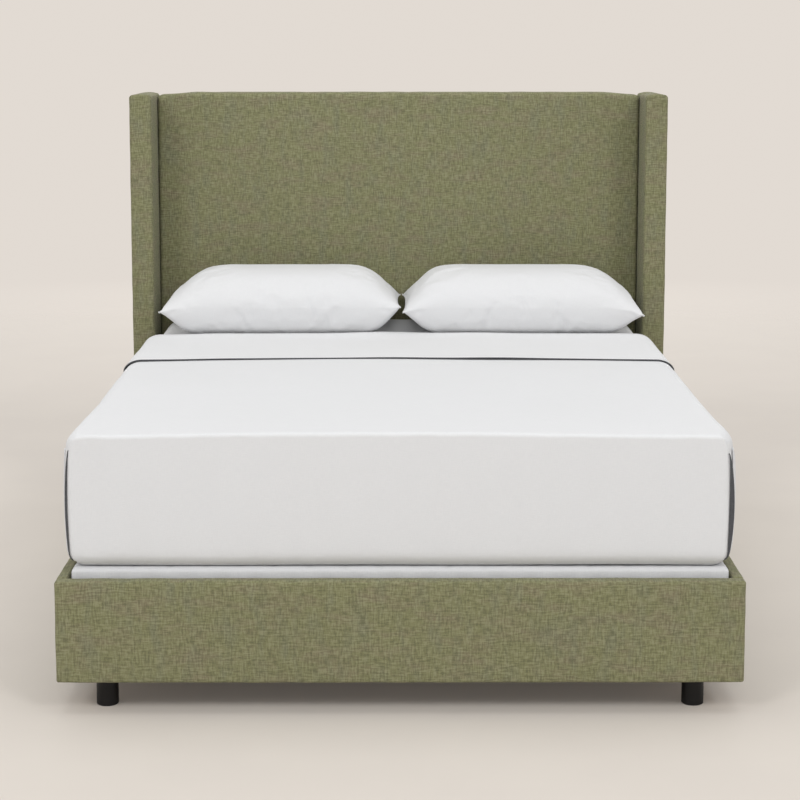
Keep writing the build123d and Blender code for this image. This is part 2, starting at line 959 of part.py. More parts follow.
for side, sign in sides:
    centre_x = sign * pillow_centre_x
    case_form = pillow_form(centre_x, 0)
    hollow_form = pillow_form(centre_x, pillowcase)
    insert_form = pillow_form(centre_x, pillowcase + pillow_spare)
    case_end = centre_x + sign * pillow_width / 2

    with BuildPart() as pillow_insert:
        add(insert_form)
    finish(pillow_insert, f"{side}_pillow")

    with BuildPart() as pillowcase_part:
        add(case_form)
        add(hollow_form, mode=Mode.SUBTRACT)
        block(
            (case_end + sign * overrun, pillow_middle_y - mouth_half, seam_z - case_mouth / 2),
            (
                case_end - sign * (pillow_end_draw + overrun),
                pillow_middle_y + mouth_half,
                seam_z + case_mouth / 2,
            ),
            Mode.SUBTRACT,
        )
    finish(pillowcase_part, f"{side}_pillowcase")
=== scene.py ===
import math

import bpy
import numpy as np
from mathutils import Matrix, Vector
from mathutils.kdtree import KDTree

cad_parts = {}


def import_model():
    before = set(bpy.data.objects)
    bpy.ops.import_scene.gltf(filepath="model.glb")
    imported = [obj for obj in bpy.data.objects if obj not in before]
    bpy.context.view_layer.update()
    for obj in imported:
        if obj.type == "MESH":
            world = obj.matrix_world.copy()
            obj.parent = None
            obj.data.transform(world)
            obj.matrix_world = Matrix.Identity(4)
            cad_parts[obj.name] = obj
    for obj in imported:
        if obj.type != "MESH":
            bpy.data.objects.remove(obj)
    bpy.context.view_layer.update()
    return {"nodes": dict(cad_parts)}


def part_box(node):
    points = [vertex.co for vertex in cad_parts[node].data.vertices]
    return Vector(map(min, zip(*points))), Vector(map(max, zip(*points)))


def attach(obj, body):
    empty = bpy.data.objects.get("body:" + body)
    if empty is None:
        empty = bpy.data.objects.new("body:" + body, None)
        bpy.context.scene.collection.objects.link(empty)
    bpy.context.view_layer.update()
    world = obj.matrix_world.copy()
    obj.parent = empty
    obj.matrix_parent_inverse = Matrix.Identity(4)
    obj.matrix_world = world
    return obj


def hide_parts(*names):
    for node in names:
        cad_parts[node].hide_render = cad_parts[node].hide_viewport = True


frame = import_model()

# The looks of a queen-size upholstered bed, in metres, in the frame of its CAD model:
# +X to the right and +Y to the headboard as seen from the foot, with the floor at zero.

SIDES = ("left", "right")
TINY = 1e-9
TOUCH = 1e-6


# Meshes

def stops(low, high, radius, step, turns=4):
    """Places from low to high: close together over a round of that radius at each end."""
    curve = radius * np.tan(np.linspace(0, math.pi / 4, turns + 1))
    flat = high - low - 2 * radius
    inner = np.linspace(low + radius, high - radius, max(2, round(flat / step) + 1))
    near = low + radius - curve[:0:-1]
    far = high - radius + curve[1:]
    return np.concatenate([near, inner, far])


def box_shell(x_stops, y_stops, z_stops, drop=()):
    """The points and four-sided faces of a box's surface, without the sides named in drop."""
    marks = (x_stops, y_stops, z_stops)
    shape = tuple(len(stop) for stop in marks)
    places = np.indices(shape)
    outer = np.zeros(shape, bool)
    for axis in range(3):
        outer |= (places[axis] == 0) | (places[axis] == shape[axis] - 1)
    index = np.full(shape, -1)
    index[outer] = np.arange(outer.sum())
    points = np.stack([marks[axis][places[axis][outer]] for axis in range(3)], 1)
    quads = []
    for axis, letter in enumerate("xyz"):
        for side, sign in ((0, "-"), (-1, "+")):
            if sign + letter in drop:
                continue
            sheet = np.take(index, side, axis)
            ring = (sheet[:-1, :-1], sheet[1:, :-1], sheet[1:, 1:], sheet[:-1, 1:])
            quad = np.stack(ring, -1).reshape(-1, 4)
            turned = (side == 0) != (axis == 1)
            quads.append(quad[:, ::-1] if turned else quad)
    return points, np.concatenate(quads)


def round_pair(points, axes, low, high, radius):
    """Round the box's edges that run square to two axes, to a radius or to one for each axis."""
    pair = radius if isinstance(radius, tuple) else (radius, radius)
    core = [np.clip(points[:, a], low[a] + r, high[a] - r) for a, r in zip(axes, pair)]
    out = [(points[:, a] - c) / r for a, c, r in zip(axes, core, pair)]
    size = np.hypot(*out)
    reach = np.maximum(abs(out[0]), abs(out[1]))
    share = np.where(size > TINY, reach / np.maximum(size, TINY), 1)
    for a, c, o, r in zip(axes, core, out, pair):
        points[:, a] = c + o * share * r
    return points


def soft_box(low, high, corner, edge, steps, turns=(4, 4), across=None, drop=(), skirt=0):
    """A box's surface with one radius for its upright corners and another for its other edges.

    Steps and turns are for its plan and its height. A skirt keeps its lower edges square.
    """
    plan = (stops(low[a], high[a], across or corner, steps[0], turns[0]) for a in (0, 1))
    height = stops(low[2], high[2], edge, steps[1], turns[1])
    points, quads = box_shell(*plan, height, drop)
    round_pair(points, (0, 1), low, high, corner)
    for pair in ((1, 2), (0, 2)):
        round_pair(points, pair, low - [0, 0, skirt], high, edge)
    return points, quads


def rounded_box(low, high, edge, step, turns=4):
    """A box's surface with all its edges rounded to one radius."""
    return soft_box(low, high, edge, edge, (step, step), (turns, turns))


def opened_below(points, quads, bottom, inside):
    """The faces of a mesh without those at its bottom that reach inside."""
    gone = (points[:, 2] < bottom + TOUCH) & inside
    return quads[~gone[quads].any(1)]


def xyz(*parts):
    """Points from their three coordinates, each a number or an array."""
    return np.stack(np.broadcast_arrays(*parts), -1).reshape(-1, 3)


def row_lengths(rows):
    """The length of each row, as a column."""
    return np.linalg.norm(rows, axis=1, keepdims=True)


def normals_of(points, quads):
    """The outward direction at each point of a mesh."""
    corners = points[quads]
    face = np.cross(corners[:, 2] - corners[:, 0], corners[:, 3] - corners[:, 1])
    total = np.zeros_like(points)
    for corner in range(4):
        np.add.at(total, quads[:, corner], face)
    return total / np.maximum(row_lengths(total), TINY)


def pushed(points, normal, amount):
    """The points moved along their outward directions."""
    return points + normal * amount[:, None]


def without_loose(points, quads):
    """The mesh with the points that no face uses left out."""
    used = np.unique(quads)
    index = np.full(len(points), -1)
    index[used] = np.arange(len(used))
    return points[used], index[quads]


WAVE_COUNT = 16
WAVE_SPREAD = (0.6, 1.4)


def waves(points, size, seed):
    """A smooth field of about unit height, the same each run, with swells about size across."""
    dice = np.random.default_rng(seed)
    turn = dice.normal(size=(WAVE_COUNT, 3))
    turn *= 2 * math.pi / size * dice.uniform(*WAVE_SPREAD, (WAVE_COUNT, 1)) / row_lengths(turn)
    phase = dice.uniform(0, 2 * math.pi, WAVE_COUNT)
    return np.sin(points @ turn.T + phase).sum(1) / math.sqrt(WAVE_COUNT / 2)


def smooth(value, start, end):
    """From 0 at start to 1 at end, without a corner."""
    share = np.clip((value - start) / (end - start), 0, 1)
    return share * share * (3 - 2 * share)


def nearing(value, end, zone):
    """From 0 to 1 as a value nears an end, over a zone given by its two distances from it."""
    return smooth(value, end - zone[0], end - zone[1])


def grid_quads(rows, columns, closed=False):
    """The faces of a grid of points, rows by columns, joined round its columns if closed."""
    index = np.arange(rows * columns).reshape(rows, columns)
    if closed:
        index = np.concatenate([index, index[:, :1]], 1)
    ring = (index[:-1, :-1], index[1:, :-1], index[1:, 1:], index[:-1, 1:])
    return np.stack(ring, -1).reshape(-1, 4)


TUBE_SIDES = 10
NEARLY_LONGWAYS = 0.9


def tube(path, radius):
    """A round cord along a path, with flat ends."""
    path = np.asarray(path)
    along = np.gradient(path, axis=0)
    along /= row_lengths(along)
    helper = np.where(abs(along[:, 1:2]) > NEARLY_LONGWAYS, [[1.0, 0, 0]], [[0, 1.0, 0]])
    side = np.cross(along, helper)
    side /= row_lengths(side)
    up = np.cross(along, side)
    angle = np.linspace(0, 2 * math.pi, TUBE_SIDES, endpoint=False)
    ring = side[:, None] * np.cos(angle)[None, :, None] + up[:, None] * np.sin(angle)[None, :, None]
    points = (path[:, None] + radius * ring).reshape(-1, 3)
    quads = grid_quads(len(path), TUBE_SIDES, closed=True)[:, ::-1]
    first = np.arange(TUBE_SIDES)
    last = first + (len(path) - 1) * TUBE_SIDES
    fan = range(TUBE_SIDES - 2)
    caps = [[first[0], first[i + 2], first[i + 1], first[i + 1]] for i in fan]
    caps += [[last[0], last[i + 1], last[i + 2], last[i + 2]] for i in fan]
    return points, np.concatenate([quads, np.array(caps)])


def joined(*meshes):
    """Several meshes as one."""
    starts = np.cumsum([0] + [len(points) for points, _ in meshes])
    quads = [some + start for (_, some), start in zip(meshes, starts)]
    return np.concatenate([points for points, _ in meshes]), np.concatenate(quads)


def box_of(node):
    """The low and the high corner of a CAD node's box."""
    return tuple(np.array(corner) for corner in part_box(node))


def read_all(items, name, width=1, kind=float):
    """One attribute of all of a mesh's points, edges, faces or corners."""
    found = np.zeros(len(items) * width, kind)
    items.foreach_get(name, found)
    return found.reshape(-1, width) if width > 1 else found


def placed(name, data):
    """A new object in the scene."""
    made = bpy.data.objects.new(name, data)
    bpy.context.scene.collection.objects.link(made)
    return made


def piece(name, mesh_parts, material, body, replaced=(), thickness=0):
    """A finished piece: its mesh, a weave map in metres, its finish, its body and its nodes."""
    points, quads = without_loose(*mesh_parts)
    mesh = bpy.data.meshes.new(name)
    # A face that names a point twice is a triangle
    faces = [face if len(set(face)) == 4 else list(dict.fromkeys(face)) for face in quads.tolist()]
    mesh.from_pydata(points.tolist(), [], faces)
    mesh.validate()
    mesh.shade_smooth()
    add_weave_map(mesh)
    mesh.materials.append(material)
    made = placed(name, mesh)
    if thickness:
        solid = made.modifiers.new("thickness", "SOLIDIFY")
        solid.thickness = thickness
        solid.offset = -1
    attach(made, body)
    if replaced:
        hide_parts(*replaced)
    return made


def add_weave_map(mesh):
    """A map in metres that follows the cloth's threads, taken along each face's main direction."""
    place = read_all(mesh.vertices, "co", 3)[read_all(mesh.loops, "vertex_index", kind=int)]
    normal = read_all(mesh.polygons, "normal", 3)
    totals = read_all(mesh.polygons, "loop_total", kind=int)
    facing = np.repeat(abs(normal).argmax(1), totals)
    across = np.where(facing == 0, place[:, 1], place[:, 0])
    upward = np.where(facing == 2, place[:, 1], place[:, 2])
    layer = mesh.uv_layers.new(name="weave")
    layer.uv.foreach_set("vector", np.stack([across, upward], 1).ravel().astype(np.float32))


# Materials

def add_node(tree, kind, values=(), output=0, **settings):
    """Add a shader node with its settings, and a value or a link for each socket in values."""
    made = tree.nodes.new("ShaderNode" + kind)
    for key, value in settings.items():
        setattr(made, key, value)
    for key, value in dict(values).items():
        if isinstance(value, bpy.types.NodeSocket):
            tree.links.new(value, made.inputs[key])
        else:
            made.inputs[key].default_value = value
    return made.outputs[output] if len(made.outputs) else made


class Finish:
    """One material, with short calls for the nodes that it is made of."""

    def __init__(self, name, color, roughness, **sockets):
        self.material = bpy.data.materials.new(name)
        self.material.use_nodes = True
        self.tree = self.material.node_tree
        self.shader = self.tree.nodes["Principled BSDF"]
        self.shader.inputs["Base Color"].default_value = (*color, 1)
        self.shader.inputs["Roughness"].default_value = roughness
        for socket, value in sockets.items():
            self.shader.inputs[socket.replace("_", " ")].default_value = value

    def node(self, kind, values=(), output=0, **settings):
        return add_node(self.tree, kind, values, output, **settings)

    def weave_place(self):
        return self.node("UVMap", uv_map="weave")

    def place(self):
        return self.node("TexCoord", output="Object")

    def scaled(self, place, scale):
        return self.node("VectorMath", {0: place, 1: scale}, operation="MULTIPLY")

    def noise(self, place, scale, detail=2, rough=0.5):
        """Soft noise, stretched where the scale is one for each axis."""
        if isinstance(scale, tuple):
            place, scale = self.scaled(place, scale), 1
        values = {"Vector": place, "Scale": scale, "Detail": detail, "Roughness": rough}
        return self.node("TexNoise", values, output="Fac")

    def bands(self, place, period, direction, warp=0):
        """Even bands; the node's own period is pi / 10 at a scale of 1."""
        values = {"Vector": place, "Scale": math.pi / (10 * period), "Distortion": warp}
        return self.node("TexWave", values, output="Fac", bands_direction=direction)

    def sum(self, operation, first, second):
        return self.node("Math", {0: first, 1: second}, operation=operation)

    def between(self, value, low, high, to_low=0, to_high=1):
        values = {"Value": value, 1: low, 2: high, 3: to_low, 4: to_high}
        return self.node("MapRange", values)

    def mix(self, color, other, value, low, high, most=1):
        """One colour going over to another as a value goes from low to high, at most by a share."""
        share = self.between(value, low, high, 0, most)
        first, second = [(*c, 1) if isinstance(c, tuple) else c for c in (color, other)]
        return self.node("Mix", {0: share, 6: first, 7: second}, 2, data_type="RGBA")

    def finish(self, color, height=None, depth=0.0005, strength=1, roughness=None):
        """The material, with its colour, relief and gloss joined on."""
        if height is not None:
            values = {"Height": height, "Distance": depth, "Strength": strength}
            height = self.node("Bump", values)
        for socket, value in (("Base Color", color), ("Roughness", roughness), ("Normal", height)):
            if value is not None:
                self.tree.links.new(value, self.shader.inputs[socket])
        return self.material


LINEN_THREAD = 0.0019


def linen(name, base, light, dark, warm, cool):
    """A flecked plain weave: uneven threads both ways, with warmer and cooler stretches of yarn."""
    made = Finish(name, base, 0.92, Sheen_Weight=0.08, Sheen_Roughness=0.5, Specular_IOR_Level=0.15)
    at = made.weave_place()
    weft = made.noise(at, (42, 250, 1), rough=0.6)
    warp = made.noise(at, (250, 42, 1), rough=0.6)
    fine = made.noise(at, (480, 480, 1), detail=1)
    warm_run = made.noise(at, (9, 24, 1), detail=3, rough=0.6)
    cool_run = made.noise(at, (26, 8, 1), detail=3, rough=0.6)
    broad = made.noise(at, 3.5)
    color = made.mix(base, warm, warm_run, 0.46, 0.66, most=0.8)
    color = made.mix(color, cool, cool_run, 0.48, 0.68, most=0.7)
    threads = made.sum("ADD", weft, warp)
    color = made.mix(color, light, threads, 1.0, 1.2, most=0.75)
    color = made.mix(color, dark, threads, 1.0, 0.8, most=0.75)
    color = made.mix(color, light, fine, 0.52, 0.72, most=0.35)
    color = made.mix(color, dark, broad, 0.35, 0.7, most=0.08)
    lengthways = made.bands(at, LINEN_THREAD, "X", warp=0.6)
    crossways = made.bands(at, LINEN_THREAD, "Y", warp=0.6)
    weave = made.sum("MULTIPLY", made.sum("MULTIPLY", lengthways, crossways), 0.6)
    return made.finish(color, made.sum("ADD", threads, weave), depth=0.0008, strength=0.5)


def cotton(name, base, shade, thread=0.0011, depth=0.00035, nap=0.1):
    """Plain cotton: a fine even weave with a slight slub."""
    made = Finish(name, base, 0.88, Sheen_Weight=nap, Sheen_Roughness=0.6, Specular_IOR_Level=0.2)
    at = made.weave_place()
    slub = made.sum("ADD", made.noise(at, (60, 520, 1)), made.noise(at, (520, 60, 1)))
    patch = made.noise(at, 14, detail=3, rough=0.6)
    color = made.mix(base, shade, slub, 0.8, 1.25)
    color = made.mix(color, shade, patch, 0.4, 0.7, most=0.35)
    weave = made.sum("MULTIPLY", made.bands(at, thread, "X"), made.bands(at, thread, "Y"))
    height = made.sum("ADD", weave, made.sum("MULTIPLY", slub, 0.8))
    return made.finish(color, height, depth, strength=0.6)


def foam(name, base, dark):
    """Open-cell foam or felt with fine pores."""
    made = Finish(name, base, 0.95)
    pores = made.noise(made.place(), 900)
    return made.finish(made.mix(base, dark, pores, 0.45, 0.65), pores, depth=0.0006)


PINE_LIGHT = (0.62, 0.44, 0.24)
PINE_DARK = (0.42, 0.27, 0.13)
ACROSS_GRAIN = 9
ALONG_GRAIN = 0.6


def pine(name, along):
    """Sawn pine: long grain with growth rings and fine pores, along one of the three axes."""
    made = Finish(name, PINE_LIGHT, 0.6)
    stretch = [ACROSS_GRAIN] * 3
    stretch[along] = ALONG_GRAIN
    at = made.scaled(made.place(), tuple(stretch))
    rings = made.noise(at, 9, detail=5, rough=0.6)
    fibre = made.noise(made.scaled(at, (6, 6, 6)), 22, detail=3, rough=0.7)
    color = made.mix(PINE_LIGHT, PINE_DARK, rings, 0.42, 0.62)
    color = made.mix(color, PINE_DARK, fibre, 0.45, 0.75, most=0.4)
    return made.finish(color, fibre, depth=0.0003)


def plywood():
    """Sanded plywood: a calm veneer, with the layers showing as lines on its edges."""
    made = Finish("plywood", (0.5, 0.36, 0.21), 0.6)
    at = made.place()
    grain = made.noise(made.scaled(at, (40, 3, 40)), 3, detail=4, rough=0.6)
    layers = made.bands(at, 0.003, "DIAGONAL", warp=0.2)
    color = made.mix((0.55, 0.41, 0.25), (0.4, 0.27, 0.15), grain, 0.4, 0.62)
    color = made.mix(color, (0.3, 0.19, 0.1), layers, 0.7, 1, most=0.3)
    return made.finish(color, grain, depth=0.0003)


def black_paint():
    """Black satin paint on wood, with a trace of grain and rubbed patches."""
    black = (0.006, 0.0057, 0.0059)
    made = Finish("black_leg_paint", black, 0.4, Specular_IOR_Level=0.3)
    at = made.place()
    grain = made.noise(at, (160, 160, 7), detail=4, rough=0.6)
    rubbed = made.noise(at, 30, detail=3)
    color = made.mix(black, (0.012, 0.0115, 0.0115), rubbed, 0.5, 0.8, most=0.5)
    rough = made.between(rubbed, 0.3, 0.7, to_low=0.34, to_high=0.5)
    return made.finish(color, grain, depth=0.0002, roughness=rough)


def zinc():
    """Bright zinc-plated steel, cloudy and lightly scratched."""
    made = Finish("zinc_steel", (0.6, 0.6, 0.58), 0.35, Metallic=1)
    at = made.place()
    cloud = made.noise(at, 120, detail=3)
    scratch = made.noise(at, (900, 60, 900))
    color = made.mix((0.62, 0.62, 0.6), (0.5, 0.51, 0.5), cloud, 0.35, 0.65)
    rough = made.between(cloud, 0.3, 0.7, to_low=0.28, to_high=0.42)
    return made.finish(color, scratch, depth=0.00005, roughness=rough)


def moulded_plastic():
    """Black moulded plastic with a fine spark-eroded grain."""
    made = Finish("black_plastic", (0.02, 0.02, 0.02), 0.5)
    at = made.place()
    grain = made.noise(at, 1500)
    cloud = made.noise(at, 60)
    color = made.mix((0.018, 0.018, 0.018), (0.03, 0.03, 0.03), cloud, 0.4, 0.7)
    return made.finish(color, grain, depth=0.0001)


sage = linen("sage_linen", base=(0.2, 0.2, 0.102), light=(0.278, 0.273, 0.163),
             dark=(0.122, 0.119, 0.067), warm=(0.212, 0.18, 0.118), cool=(0.178, 0.184, 0.12))
lining = cotton("black_lining", (0.012, 0.012, 0.012), (0.02, 0.02, 0.02),
                thread=0.002, depth=0.0004, nap=0.05)
charcoal = cotton("charcoal_piping", (0.06, 0.061, 0.066), (0.09, 0.091, 0.097),
                  thread=0.0009, depth=0.0002, nap=0.05)
coverlet_cotton = cotton("white_coverlet", (0.725, 0.728, 0.735), (0.70, 0.703, 0.712))
sheet_cotton = cotton("white_sheet", (0.728, 0.73, 0.737), (0.705, 0.707, 0.715),
                      thread=0.0009, depth=0.00025)
case_cotton = cotton("white_pillowcase", (0.695, 0.697, 0.703), (0.677, 0.679, 0.687),
                     thread=0.0009, depth=0.00025)
quilt_cotton = cotton("foundation_quilt", (0.7, 0.7, 0.71), (0.65, 0.65, 0.665),
                      thread=0.0014, depth=0.0004)
ticking_cotton = cotton("ticking", (0.78, 0.78, 0.79), (0.7, 0.7, 0.73),
                        thread=0.0018, depth=0.0005)
fill_cotton = cotton("pillow_fill", (0.8, 0.8, 0.79), (0.76, 0.76, 0.75),
                     thread=0.0016, depth=0.0004)
felt = foam("foundation_felt", (0.45, 0.44, 0.42), (0.3, 0.29, 0.28))
steel = zinc()

# Finishes of the CAD pieces that stay as they are

NUMBERS = (1, 2, 3, 4)
finishes = (
    (pine("pine_across", along=0),
     ("headboard_top_rail", "headboard_middle_rail", "headboard_bottom_rail", "foundation_slats",
      *(f"slat_{number}" for number in NUMBERS))),
    (pine("pine_along", along=1),
     ("left_slat_ledger", "right_slat_ledger", "foundation_boards", "corner_blocks")),
    (pine("pine_upright", along=2),
     ("headboard_left_post", "headboard_right_post",
      *(f"centre_leg_{number}" for number in NUMBERS))),
    (plywood(),
     ("headboard_panel", "left_wing_panel", "right_wing_panel", "footboard_board",
      "left_rail_board", "right_rail_board")),
    (black_paint(), ("front_left_leg", "front_right_leg", "rear_left_leg", "rear_right_leg")),
    (steel, ("leg_bolts", "corner_brackets", "bracket_bolts", "wood_screws")),
    (moulded_plastic(), tuple(f"centre_foot_{number}" for number in NUMBERS)),
)
for material, names in finishes:
    for name in names:
        mesh = frame["nodes"][name].data
        mesh.materials.clear()
        mesh.materials.append(material)


# Upholstered frame: cloth pulled over foam, so each piece is a little fuller in its middle

HEAD_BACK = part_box("headboard_back_cover")[0][1]
NEAR_BACK = 0.01
BACK_GAP = 0.0012
CLOTH_STEP = 0.014
CLOTH_SLACK = 0.0003
DOME_POWER = 4
RAIL_PROUD = 0.007


def upholstered(name, nodes, edge, swell, shape=None, step=CLOTH_STEP, turns=4, proud=0):
    """A padded, cloth-covered block in its cover node's place, with its top a little proud of it."""
    low, high = box_of(nodes[0])
    high[2] += proud
    points, quads = rounded_box(low, high, edge, step, turns)
    middle, half = (low + high) / 2, (high - low) / 2
    share = (points - middle) / half
    normal = normals_of(points, quads)
    for axis in range(3):
        others = [a for a in range(3) if a != axis]
        dome = np.prod(1 - share[:, others] ** DOME_POWER, axis=1)
        points[:, axis] += swell[axis] * normal[:, axis] * abs(normal[:, axis]) * dome
    points = pushed(points, normal, CLOTH_SLACK * waves(points, size=0.09, seed=len(name)))
    if shape:
        points = shape(points, low, high)
    if high[1] > HEAD_BACK - NEAR_BACK:
        points[:, 1] = np.minimum(points[:, 1], HEAD_BACK - BACK_GAP)
    made = piece(name, (points, quads), sage, "frame", nodes)
    return made


WING_CROWN = 0.006
WING_TOP_ZONE = (0.06, 0.005)
HEAD_CROWN = 0.008
HEAD_FACE_ZONE = (0.05, 0.012)
HEAD_DIP = 0.007
HEAD_DIP_REACH = 0.13
HEAD_TOP_ZONE = (0.09, 0.01)


def wing_shape(points, low, high):
    """The wing's top is domed from side to side."""
    middle = (low[0] + high[0]) / 2
    across = (points[:, 0] - middle) / ((high[0] - low[0]) / 2)
    points[:, 2] -= WING_CROWN * across**2 * nearing(points[:, 2], high[2], WING_TOP_ZONE)
    return points


def headboard_shape(points, low, high):
    """The face bows out between the wings, and the top is drawn down beside them."""
    half = (high[0] - low[0]) / 2
    across = abs(points[:, 0]) / half
    points[:, 1] += HEAD_CROWN * across**2 * nearing(-points[:, 1], -low[1], HEAD_FACE_ZONE)
    near_wing = smooth(across * half, half - HEAD_DIP_REACH, half)
    points[:, 2] -= HEAD_DIP * near_wing * nearing(points[:, 2], high[2], HEAD_TOP_ZONE)
    return points


upholstered("headboard_front", ("headboard_front_cover", "headboard_foam"), edge=0.014,
            swell=(0, 0.0015, 0.001), shape=headboard_shape, step=0.018, turns=5)
for side in SIDES:
    upholstered(f"{side}_wing_upholstery", (f"{side}_wing_cover", f"{side}_wing_foam"),
                edge=0.008, swell=(0.0015, 0.001, 0), shape=wing_shape, turns=3)
    upholstered(f"{side}_rail_upholstery", (f"{side}_rail_cover", f"{side}_rail_foam"),
                edge=0.005, swell=(0.0012, 0, 0.0008), step=0.02, turns=3, proud=RAIL_PROUD)
upholstered("footboard_upholstery", ("footboard_cover", "footboard_foam"), edge=0.006,
            swell=(0, 0.002, 0.001), step=0.016, turns=3, proud=RAIL_PROUD)


# Headboard's back: a black lining, puckered between its staples

LINING_GRID = (110, 150)
LINING_OFF = 0.0012
LINING_HEM = 0.012
PUCKER = 0.0006
PUCKER_REACH = 0.03
LINING_SLACK = 0.0010
LINING_SLACK_ZONE = (0.01, 0.12)
STAPLE_STEP = 0.06
STAPLE_LENGTH = 0.010
STAPLE_WIDTH = 0.0013
STAPLE_HEIGHT = 0.0006
STAPLE_OFF = 0.0014
BAR_ROUND = 0.4


def back_lining():
    low, high = box_of("headboard_back_cover")
    upward, across = (np.linspace(low[a], high[a], count) for a, count in zip((2, 0), LINING_GRID))
    x, z = np.meshgrid(across, upward)
    inset = np.minimum(np.minimum(x - low[0], high[0] - x), np.minimum(z - low[2], high[2] - z))
    pucker = np.cos(2 * math.pi * (x + z) / STAPLE_STEP) * np.exp(-inset / PUCKER_REACH)
    swells = waves(xyz(x, 0, z), size=0.35, seed=5).reshape(x.shape)
    slack = smooth(inset, *LINING_SLACK_ZONE) * swells
    y = high[1] + LINING_OFF + PUCKER * pucker + LINING_SLACK * slack
    quads = grid_quads(*LINING_GRID)[:, ::-1]
    made = piece("headboard_back_lining", (xyz(x, y, z), quads), lining, "frame",
                 ("headboard_back_cover",), thickness=0.0006)
    return made


def bar(centre, size):
    """A small bar with rounded edges, such as the back of a staple."""
    centre, size = np.array(centre), np.array(size)
    return rounded_box(centre - size / 2, centre + size / 2, size.min() * BAR_ROUND, size.max(), 2)


def lining_staples():
    low, high = box_of("headboard_back_cover")
    back = high[1] + STAPLE_OFF
    bars = []
    for x in np.arange(low[0] + STAPLE_STEP / 2, high[0], STAPLE_STEP):
        for z in (low[2] + LINING_HEM, high[2] - LINING_HEM):
            bars.append(bar((x, back, z), (STAPLE_LENGTH, STAPLE_HEIGHT, STAPLE_WIDTH)))
    for z in np.arange(low[2] + STAPLE_STEP / 2, high[2], STAPLE_STEP):
        for x in (low[0] + LINING_HEM, high[0] - LINING_HEM):
            bars.append(bar((x, back, z), (STAPLE_WIDTH, STAPLE_HEIGHT, STAPLE_LENGTH)))
    return piece("lining_staples", joined(*bars), steel, "frame")


back_lining()
lining_staples()


# Box foundation: a quilted cover over a felt pad

QUILT_ROW = 0.05
QUILT_DEPTH = 0.0016
QUILT_SLANT = 0.6
QUILT_SWAY = 0.25
QUILT_WAVE = 1.6
QUILT_FULLNESS = 0.6
FACING_UP = 0.7
FELT_SWELL = 0.0004
FELT_SUNK = 0.0006


def quilted(points, normal, depth, row):
    """Push quilting into a surface: wavy rows of stitches with soft ridges between them."""
    run = points[:, 0] + points[:, 1]
    slanted = QUILT_SLANT * (points[:, 1] - points[:, 0])
    rise = points[:, 2] + slanted * (abs(normal[:, 2]) > FACING_UP)
    sway = QUILT_SWAY * row * np.sin(2 * math.pi * run / (QUILT_WAVE * row))
    ridge = abs(np.sin(math.pi * (rise + sway) / row))
    return pushed(points, normal, depth * (ridge**QUILT_FULLNESS - 1))


def foundation_cover():
    low, high = box_of("foundation_cover")
    points, quads = soft_box(low, high, corner=0.005, edge=0.012, steps=(0.012, 0.007),
                             turns=(8, 4), across=0.012, drop=("-z",), skirt=0.1)
    points = quilted(points, normals_of(points, quads), QUILT_DEPTH, QUILT_ROW)
    made = piece("foundation_quilted_cover", (points, quads), quilt_cotton, "foundation",
                 ("foundation_cover",), thickness=0.002)
    return made


def felt_pad():
    points, quads = rounded_box(*box_of("foundation_pad"), edge=0.008, step=0.05)
    swell = FELT_SWELL * waves(points, size=0.12, seed=9)
    points = pushed(points, normals_of(points, quads), swell - FELT_SUNK)
    made = piece("foundation_felt_pad", (points, quads), felt, "foundation",
                 ("foundation_pad",))
    return made


foundation_cover()
felt_pad()


# Mattress: quilted ticking inside a fitted sheet

FOOT_PINCH = 0.008
FOOT_PINCH_REACH = 0.25
BED_CROWN = 0.007
CROWN_POWER = 1.6
FOOT_RISE = 0.013
FOOT_RISE_REACH = 0.6
TICKING_ROW = 0.11
TICKING_DEPTH = 0.0012
SHEET_MARGIN = 0.09
SHEET_SUNK = 0.0003
SHEET_SLACK = 0.0005
GATHER_DEPTH = 0.0012
GATHER_REACH = 0.12
GATHER_FOLDS = 34
GATHER_END = 0.02


def crowned(points, half, behind, rise):
    """The bed is highest along its middle, and rises a little towards its foot."""
    points[:, 2] -= BED_CROWN * abs(points[:, 0] / half) ** CROWN_POWER * rise
    points[:, 2] += FOOT_RISE * (1 - smooth(behind, 0, FOOT_RISE_REACH)) * rise
    return points


def pinched(points, low, high):
    """The mattress is squeezed in a little at its foot by the tight bedding, and crowned."""
    behind = points[:, 1] - low[1]
    points[:, 0] *= 1 - FOOT_PINCH * (1 - smooth(behind, 0, FOOT_PINCH_REACH))
    return crowned(points, high[0], behind, (points[:, 2] - low[2]) / (high[2] - low[2]))


def mattress():
    low, high = box_of("mattress_cover")
    points, quads = soft_box(low, high, corner=0.058, edge=0.040, steps=(0.025, 0.02))
    points = quilted(points, normals_of(points, quads), TICKING_DEPTH, TICKING_ROW)
    made = piece("mattress", (pinched(points, low, high), quads), ticking_cotton, "mattress",
                 ("mattress_cover", "mattress_core"))
    return made


